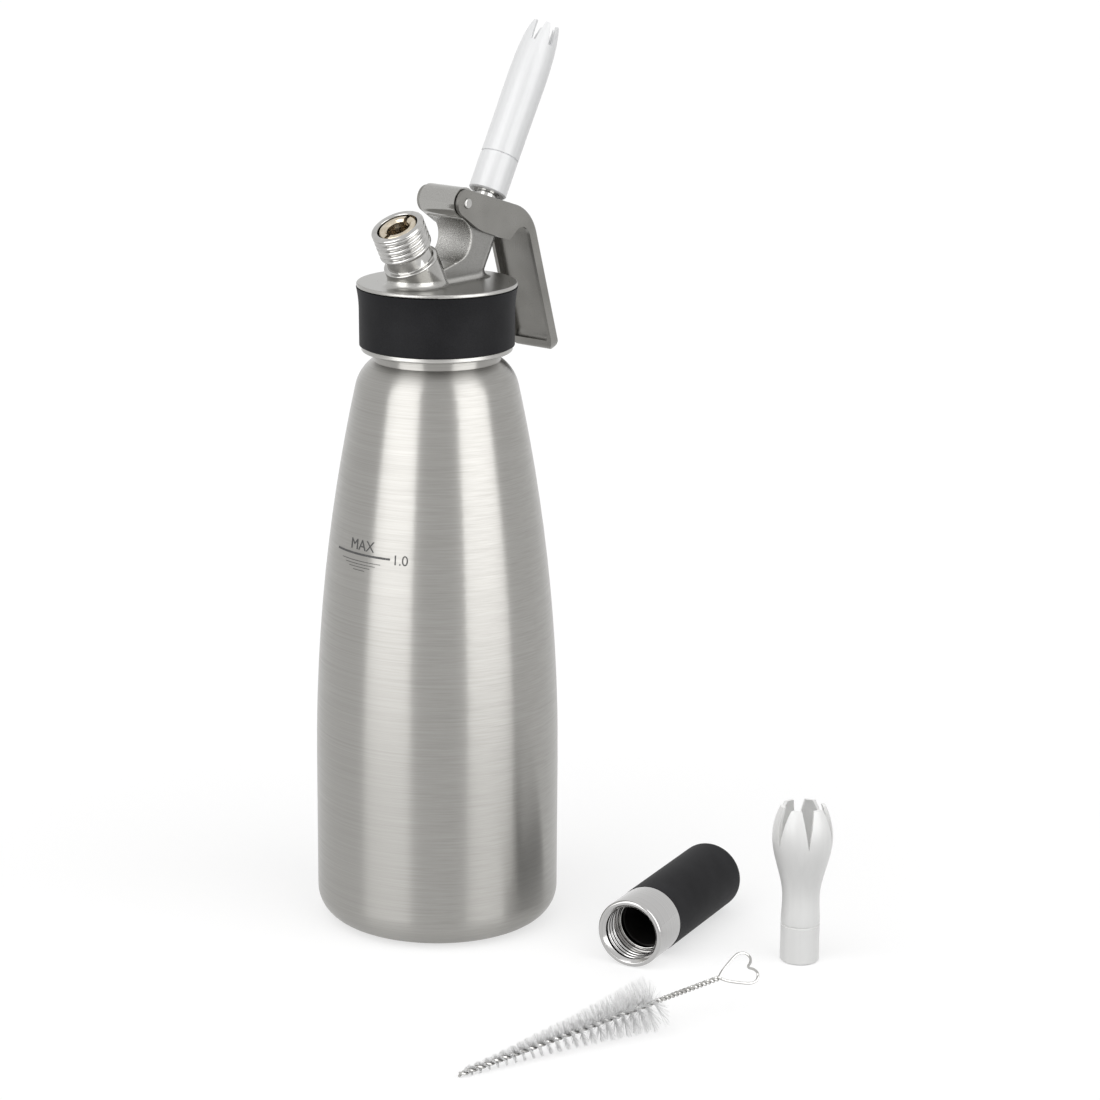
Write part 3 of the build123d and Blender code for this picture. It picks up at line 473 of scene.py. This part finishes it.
def lathe(section, place, steps, thread_r, start, end, depth, pitch):
    """Points and faces of a closed section spun round local z, with a thread on one radius."""
    points = []
    count = len(section)
    for step in range(steps):
        angle = tau * step / steps
        for radius, height in section:
            if abs(radius - thread_r) < same_radius and start <= height <= end:
                radius += depth * groove(height, angle, pitch)
            points.append(place @ Vector((radius * cos(angle), radius * sin(angle), height)))
    faces = []
    for step in range(steps):
        here = step * count
        there = (step + 1) % steps * count
        for index in range(count):
            after = (index + 1) % count
            faces.append((here + index, here + after, there + after, there + index))
    return points, faces


def tube(path, radii, sides):
    """Points and faces of a round tube with closed ends along a path of points."""
    points = []
    normal = Vector((0, 0, 1))
    for index, centre in enumerate(path):
        ahead = path[min(index + 1, len(path) - 1)] - path[max(index - 1, 0)]
        ahead.normalize()
        normal = (normal - ahead * normal.dot(ahead)).normalized()
        across = ahead.cross(normal)
        for side in range(sides):
            angle = tau * side / sides
            offset = normal * cos(angle) + across * sin(angle)
            points.append(centre + offset * radii[index])
    faces = [tuple(range(sides))[::-1], tuple(range(len(points) - sides, len(points)))]
    for index in range(len(path) - 1):
        ring = index * sides
        for side in range(sides):
            after = (side + 1) % sides
            faces.append((ring + side, ring + after, ring + sides + after, ring + sides + side))
    return points, faces


def smooth_curve(points, steps):
    """A Catmull-Rom curve through points, which starts and ends on its second and last but one."""
    path = []
    for index in range(1, len(points) - 2):
        a, b, c, d = points[index - 1 : index + 3]
        for step in range(steps):
            t = step / steps
            path.append(
                0.5
                * (
                    2 * b
                    + (c - a) * t
                    + (2 * a - 5 * b + 4 * c - d) * t**2
                    + (3 * b - a - 3 * c + d) * t**3
                )
            )
    path.append(points[-2])
    return path


# --- Charger inlet ------------------------------------------------------------------
def make_inlet_stud():
    """The screwed stud that takes the charger holder, with its rounded thread."""
    shoulder_top = boss_height + stud_shoulder
    thread_first = stud_thread_start + 0.1
    thread_top = stud_tip - stud_thread_lead
    corners = [
        (gas_way_r, stud_foot, 0),
        (stud_spigot_r, stud_foot, 0),
        (stud_spigot_r, boss_height, 0),
        (boss_r, boss_height, 0.15),
        (boss_r, shoulder_top, 0.35),
        (stud_neck_r, shoulder_top, 0.3),
        (stud_neck_r, stud_thread_start - stud_taper, 0.3),
        (stud_thread_r, stud_thread_start, 0),
        *thread_line(stud_thread_r, thread_first, thread_top),
        (stud_thread_r, stud_tip, 0.7),
        (stud_bore_r, stud_tip, 0.5),
        (stud_bore_r, stud_bore_floor, 0),
        (gas_way_r, stud_bore_floor, 0),
    ]
    points, faces = lathe(
        rounded(corners),
        axis_place(stud_root, stud_along, Vector((1, 0, 0))),
        steps=160,
        thread_r=stud_thread_r,
        start=stud_thread_start,
        end=thread_top,
        depth=-charger_thread_depth,
        pitch=charger_pitch,
    )
    stud = add_piece("inlet_stud_threaded", points, faces, polished, "head")
    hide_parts("charger_stud")


# --- Valve spring -------------------------------------------------------------------
def make_valve_spring():
    """The return spring round the valve stem."""
    steps = 48
    count = spring_turns * steps
    side = Vector((0, 1, 0))
    across = spout_along.cross(side)
    path = []
    for step in range(count + 1):
        angle = tau * step / steps
        rise = spring_foot + spring_rise * step / count
        turned_out = side * cos(angle) + across * sin(angle)
        path.append(spout_root + spout_along * rise + turned_out * spring_r)
    points, faces = tube(path, [spring_wire_r] * len(path), sides=12)
    spring = add_piece("valve_spring_coil", points, faces, wire_steel, "head")
    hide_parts("valve_spring")
    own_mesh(spring)


# --- Charger holder -----------------------------------------------------------------
def make_holder_sleeve():
    """The holder's steel sleeve: rounded lip, inner thread and relief, and the tube inside."""
    thread_first = holder_thread_mouth + holder_thread_lead
    corners = [
        (holder_thread_r + holder_lip, 0, 0.4),
        (holder_r, 0, 0.9),
        (holder_r, holder_sleeve_length, 0.15),
        (holder_tube_r, holder_sleeve_length, 0),
        (holder_tube_r, holder_tube_end, 0),
        (holder_seat_r, holder_tube_end, 0),
        (holder_seat_r, holder_relief_end, 0),
        (holder_relief_r, holder_relief_end, 0),
        (holder_relief_r, holder_thread_end + holder_relief_gap, 0),
        *thread_line(holder_thread_r, holder_thread_end, thread_first),
        (holder_thread_r, holder_thread_mouth, 0.3),
    ]
    points, faces = lathe(
        rounded(corners),
        axis_place(holder_mouth, holder_along, Vector((0, 0, 1))),
        steps=180,
        thread_r=holder_thread_r,
        start=thread_first,
        end=holder_thread_end,
        depth=holder_thread_depth,
        pitch=charger_pitch,
    )
    sleeve = add_piece(
        "holder_sleeve_threaded", points, faces, turned, "charger_holder"
    )
    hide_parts("holder_sleeve")


# --- Bottle neck thread -------------------------------------------------------------
def make_neck_thread():
    """A rolled ridge that winds up the bottle's neck under the head."""
    pitch = 3.6
    turns = 3.0
    start_z = 229.5
    half_width = 1.0
    height = 0.5
    sunk = 0.1
    steps = 96
    fade_steps = 12
    path_steps = int(turns * steps)
    points = []
    for step in range(path_steps + 1):
        angle = tau * step / steps
        crest = height * min(1.0, step / fade_steps, (path_steps - step) / fade_steps)
        z = start_z + pitch * step / steps
        profile = [
            (-half_width, -sunk),
            (-half_width / 3, crest),
            (half_width / 3, crest),
            (half_width, -sunk),
        ]
        for offset, rise in profile:
            radius = neck_r + rise
            points.append(Vector((radius * cos(angle), radius * sin(angle), z + offset)))
    faces = [(0, 1, 2, 3), tuple(range(len(points) - 1, len(points) - 5, -1))]
    for step in range(path_steps):
        ring = 4 * step
        for side in range(4):
            after = (side + 1) % 4
            faces.append((ring + side, ring + after, ring + 4 + after, ring + 4 + side))
    add_piece("neck_thread", points, faces, polished, "bottle", sharp=60.0)


# --- Fill mark ----------------------------------------------------------------------
mark_z = 154.3
mark_azimuth = radians(177.2)
mark_half_turn = radians(19.5)
mark_proud = 0.05


def bottle_radius(z):
    """The bottle's outer radius on its long tapering arc."""
    fall = bottle_r - taper_top_r
    rise = taper_top_z - taper_foot_z
    arc_r = (rise**2 + fall**2) / (2 * fall)
    return bottle_r - arc_r + sqrt(arc_r**2 - (z - taper_foot_z) ** 2)


def on_bottle(azimuth, z):
    """A point just proud of the bottle's side."""
    radius = bottle_radius(z) + mark_proud
    return Vector((radius * cos(azimuth), radius * sin(azimuth), z))


def make_fill_line():
    """The thick fill line, and shorter thin lines below it like the surface of a liquid."""
    thick = 0.8
    thin = 0.22
    thin_lines = 4
    first_drop = 2.6
    drop_step = 1.15
    first_share = 0.72
    share_step = 0.17
    columns = 24
    stripes = [(0.0, 1.0, thick)]
    for count in range(thin_lines):
        stripes.append((first_drop + drop_step * count, first_share - share_step * count, thin))
    points = []
    faces = []
    for drop, share, width in stripes:
        first = len(points)
        for column in range(columns + 1):
            azimuth = mark_azimuth + mark_half_turn * share * (2 * column / columns - 1)
            points.append(on_bottle(azimuth, mark_z - drop + width / 2))
            points.append(on_bottle(azimuth, mark_z - drop - width / 2))
        for column in range(columns):
            corner = first + 2 * column
            faces.append((corner, corner + 1, corner + 3, corner + 2))
    add_piece("fill_line", points, faces, ink, "bottle")


def make_lettering(name, text, size, azimuth, z, align):
    """Plain lettering laid on the bottle's side."""
    curve = bpy.data.curves.new(name, "FONT")
    curve.body = text
    curve.size = size
    curve.align_x = align
    flat = bpy.data.objects.new(name + "_flat", curve)
    bpy.context.scene.collection.objects.link(flat)
    bpy.context.view_layer.update()
    graph = bpy.context.evaluated_depsgraph_get()
    letters = bpy.data.meshes.new_from_object(flat.evaluated_get(graph))
    points = []
    for vertex in letters.vertices:
        height = z + vertex.co.y
        points.append(on_bottle(azimuth + vertex.co.x / bottle_radius(height), height))
    faces = [tuple(face.vertices) for face in letters.polygons]
    bpy.data.objects.remove(flat)
    add_piece(name, points, faces, ink, "bottle")


def make_fill_mark():
    """A generic fill mark: MAX over the line and 1.0 beside it."""
    word_azimuth = mark_azimuth + radians(1.0)
    word_z = mark_z + 1.6
    number_azimuth = mark_azimuth + mark_half_turn + radians(1.2)
    number_z = mark_z - 1.9
    make_fill_line()
    make_lettering("fill_word", "MAX", 5.8, word_azimuth, word_z, "CENTER")
    make_lettering("fill_number", "1.0", 5.4, number_azimuth, number_z, "LEFT")


# --- Cleaning brush -----------------------------------------------------------------
strand_r = 0.55
twist_r = 0.55
loose_pitch = 7.2
tight_pitch = 3.6
loop_wire_r = 0.5
bristle_wire_r = 0.09

brush_rise = (bristle_r - brush_reach_r) / bristle_end
brush_along = Vector((cos(brush_heading), sin(brush_heading), brush_rise)).normalized()
brush_side = Vector((-sin(brush_heading), cos(brush_heading), 0))
brush_up = brush_along.cross(brush_side)
brush_foot = Vector((brush_foot_x, brush_foot_y, brush_reach_r / sqrt(1 + brush_rise**2)))


def turns_to(distance):
    """The strands' turns up to a distance along the stem, loose among the bristles."""
    loose = min(distance, bristle_end)
    return loose / loose_pitch + (distance - loose) / tight_pitch


def twist(distance):
    """The strands' angle at a distance along the stem; it ends in the handle's plane."""
    return heart_roll + tau * (turns_to(distance) - turns_to(brush_stem_length))


def brush_point(distance, angle, reach):
    """A point beside the brush's axis."""
    offset = brush_side * cos(angle) + brush_up * sin(angle)
    return brush_foot + brush_along * distance + offset * reach


def make_brush_wire():
    """One wire: up one strand, round the heart-shaped handle and back down the other."""
    step = 0.4
    count = int(brush_stem_length / step)
    heart = [
        (2.2, 2.2),
        (4.2, 6.2),
        (5.9, 10.6),
        (5.5, 13.6),
        (3.4, 15.1),
        (1.5, 14.4),
    ]
    notch = (0, 12.6)
    outline = [*heart, notch, *[(-side, rise) for side, rise in reversed(heart)]]
    heart_side = brush_side * cos(heart_roll) + brush_up * sin(heart_roll)
    heart_foot = brush_foot + brush_along * brush_stem_length
    up = [brush_point(index * step, twist(index * step), twist_r) for index in range(1, count + 1)]
    down = [
        brush_point(index * step, twist(index * step) + pi, twist_r) for index in range(count, 0, -1)
    ]
    loop = [heart_foot + heart_side * side + brush_along * rise for side, rise in outline]
    loop = smooth_curve([up[-3], up[-1], *loop, down[0], down[2]], steps=8)
    path = up[:-1] + loop + down[1:]
    radii = [strand_r] * (len(up) - 1) + [loop_wire_r] * len(loop) + [strand_r] * (len(down) - 1)
    points, faces = tube(path, radii, sides=8)
    wire = add_piece(
        "brush_wire_twisted", points, faces, wire_steel, "cleaning_brush"
    )
    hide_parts("brush_wire")


def bristle_reach(distance):
    """The bristles' length at a distance along the stem."""
    stations = [
        (0.0, bristle_foot_r),
        (bristle_start, bristle_tip_r),
        (bristle_mid, bristle_mid_r),
        (bristle_end, bristle_r),
    ]
    for (start, low), (end, high) in zip(stations, stations[1:]):
        if distance < end:
            break
    return low + (high - low) * (distance - start) / (end - start)


def make_bristles():
    """Nylon bristles caught between the strands, in two rows that wind with the twist."""
    chance = random.Random(41)
    first = 2.5
    per_mm = 40
    spread = 0.13
    sway = 0.05
    curl = 0.03
    shortest = 0.93
    root_reach = 0.2
    count = int((bristle_end - first) * per_mm)
    points = []
    faces = []
    for index in range(count):
        distance = first + (index + chance.random()) / per_mm
        angle = twist(distance) + pi / 2 + pi * (index % 2) + chance.gauss(0, spread)
        reach = bristle_reach(distance) * chance.uniform(shortest, 1.0)
        lean = chance.gauss(0, sway) * reach
        bend = chance.gauss(0, curl) * reach
        # A bristle that would go through the floor is cut off just above it.
        axis_z = brush_point(distance + lean, angle, 0).z
        fall = axis_z - brush_point(distance + lean, angle, 1).z
        if fall > 0:
            reach = min(reach, (axis_z - bristle_wire_r) / fall)
        root = brush_point(distance, angle, root_reach)
        middle = brush_point(distance + lean * 0.4, angle + bend * 0.02, reach * 0.55)
        tip = brush_point(distance + lean, angle, reach)
        rings = [(root, bristle_wire_r), (middle, bristle_wire_r), (tip, bristle_wire_r / 2)]
        start = len(points)
        for centre, radius in rings:
            for side in range(3):
                turn = tau * side / 3 + index
                across = brush_along * cos(turn)
                across += (brush_side * -sin(angle) + brush_up * cos(angle)) * sin(turn)
                points.append(centre + across * radius)
        faces.append((start + 6, start + 7, start + 8))
        for ring in (start, start + 3):
            for side in range(3):
                after = (side + 1) % 3
                faces.append((ring + side, ring + after, ring + 3 + after, ring + 3 + side))
    tufts = add_piece(
        "bristle_tufts", points, faces, bristle, "cleaning_brush", sharp=180.0
    )
    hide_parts("brush_bristles")


# --- Materials of the frame's own pieces --------------------------------------------
finishes = {
    "bottle": steel,
    "head_casting": satin,
    "grip_band": silicone,
    "head_gasket": rubber,
    "check_seal": rubber,
    "piercing_insert": brass,
    "piercing_needle": polished,
    "valve_stem": polished,
    "poppet_seal": rubber,
    "valve_bush": brass,
    "stem_o_ring": rubber,
    "hinge_pin": polished,
    "lever": blasted,
    "nozzle_bush": polished,
    "nozzle_seal": rubber,
    "straight_nozzle": pearl,
    "tulip_bush": polished,
    "tulip_seal": rubber,
    "tulip_tip": cream,
    "holder_ring": polished,
    "holder_liner": liner,
    "holder_grip": silicone,
}
for name, finish in finishes.items():
    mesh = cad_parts[name].data
    mesh.materials.clear()
    mesh.materials.append(finish)

make_inlet_stud()
make_valve_spring()
make_holder_sleeve()
make_neck_thread()
make_fill_mark()
make_brush_wire()
make_bristles()


# --- Studio -------------------------------------------------------------------------
# From here on places and sizes are in metres, the lens is in millimetres, and the lamps'
# azimuths, heights and widths of sun are in degrees.
camera_azimuth = 222.0
floor_r = 12.0
floor_drop = 0.0001
ambient = 0.50
floor_paint = 0.42
floor_glow = 0.62
softbox_width = 0.50
softbox_height = 1.00
softbox_distance = 0.60
softbox_foot = 0.02


def sees_background(tree):
    """1 for the rays that show the background: the camera's, and those off metal and through glass."""
    path = node(tree, "LightPath")
    direct = maths(tree, "MAXIMUM", path.outputs["Is Camera Ray"], path.outputs["Is Transmission Ray"])
    return maths(tree, "MAXIMUM", direct, path.outputs["Is Glossy Ray"])


def make_floor():
    """A wide white floor that keeps the object's soft shadow, a hair below the part's base."""
    place = (0, 0, -floor_drop)
    bpy.ops.mesh.primitive_circle_add(vertices=96, radius=floor_r, fill_type="NGON", location=place)
    floor = bpy.context.object
    floor.name = "studio_floor"
    made = bpy.data.materials.new("studio_floor")
    made.use_nodes = True
    tree = made.node_tree
    tree.nodes.clear()
    seen = maths(tree, "MULTIPLY", sees_background(tree), floor_glow)
    glow = node(tree, "Emission", {"Strength": seen})
    paint = node(tree, "BsdfDiffuse", {"Color": (floor_paint, floor_paint, floor_paint, 1)})
    both = node(tree, "AddShader", {0: glow.outputs[0], 1: paint.outputs[0]})
    node(tree, "OutputMaterial", {"Surface": both.outputs[0]})
    floor.data.materials.append(made)


def make_world():
    """Plain soft light all round, and white wherever the background is seen."""
    world = bpy.data.worlds.new("studio")
    bpy.context.scene.world = world
    world.use_nodes = True
    tree = world.node_tree
    tree.nodes.clear()
    level = mapped(tree, sees_background(tree), 0.0, 1.0, ambient, 1.0)
    background = node(tree, "Background", {"Color": (1, 1, 1, 1), "Strength": level})
    node(tree, "OutputWorld", {"Surface": background.outputs[0]})


def add_lamp(name, lamp, outwards):
    """A lamp's object, turned so that it shines in from an outward direction."""
    holder = bpy.data.objects.new(name, lamp)
    bpy.context.scene.collection.objects.link(holder)
    holder.rotation_mode = "QUATERNION"
    holder.rotation_quaternion = (-outwards).to_track_quat("-Z", "Y")
    return holder


def make_sun(name, azimuth, height, strength, width):
    """A very soft sun for the diffuse light alone, left out of what shines."""
    lamp = bpy.data.lights.new(name, "SUN")
    lamp.energy = strength
    lamp.angle = radians(width)
    turn = radians(azimuth)
    rise = radians(height)
    outwards = Vector((cos(turn) * cos(rise), sin(turn) * cos(rise), sin(rise)))
    sun = add_lamp(name, lamp, outwards)
    sun.visible_glossy = False


def make_softbox(name, azimuth, radiance):
    """A tall softbox beside the object, for the long bright bands in its steel."""
    lamp = bpy.data.lights.new(name, "AREA")
    lamp.shape = "RECTANGLE"
    lamp.size = softbox_width
    lamp.size_y = softbox_height
    lamp.energy = radiance * pi * softbox_width * softbox_height
    turn = radians(azimuth)
    outwards = Vector((cos(turn), sin(turn), 0))
    softbox = add_lamp(name, lamp, outwards)
    softbox.location = outwards * softbox_distance + Vector((0, 0, softbox_height / 2 + softbox_foot))
    softbox.visible_camera = False
    softbox.visible_diffuse = False


def make_camera():
    """The photograph's camera: a long lens a little above the object."""
    lens = bpy.data.cameras.new("camera")
    lens.lens = 109.35
    lens.sensor_width = 36.0
    lens.shift_x = 0.0931
    camera = bpy.data.objects.new("camera", lens)
    bpy.context.scene.collection.objects.link(camera)
    camera.location = (-0.9343, -0.8413, 0.4737)
    camera.rotation_mode = "QUATERNION"
    camera.rotation_quaternion = Vector((0.7215, 0.6455, -0.2506)).to_track_quat("-Z", "Y")
    bpy.context.scene.camera = camera


make_floor()
make_world()
make_softbox("softbox_left", camera_azimuth - 47, radiance=2.4)
make_softbox("softbox_right", camera_azimuth + 50, radiance=2.4)
make_sun("key_left", camera_azimuth - 45, height=48, strength=1.15, width=60)
make_sun("key_right", camera_azimuth + 50, height=42, strength=0.9, width=60)
make_camera()
bpy.context.scene.view_settings.view_transform = "Standard"
